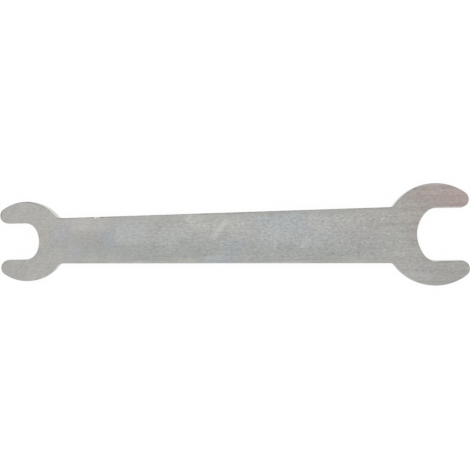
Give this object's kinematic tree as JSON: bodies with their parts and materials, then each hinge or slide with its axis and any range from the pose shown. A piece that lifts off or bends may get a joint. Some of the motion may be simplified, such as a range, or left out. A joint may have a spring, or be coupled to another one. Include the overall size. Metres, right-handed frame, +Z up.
{
  "type": "open-end wrench",
  "caption": "Flat open-end wrench blanked from zinc-plated sheet steel, with a small jaw on one end, a larger jaw on the other and a tapered shank between them.",
  "frame": {"origin": "under the middle of the wrench's box, on the face that it rests on", "axes": "+X along the wrench, out of the large jaw; +Z up through the sheet; +Y completes the frame across the shank"},
  "size_m": [0.17, 0.0372, 0.003],
  "materials": {
    "zinc_plated_steel": "matt zinc plating"
  },
  "bodies": {
    "root": {"wrench_body": "zinc_plated_steel"}
  },
  "joints": []
}
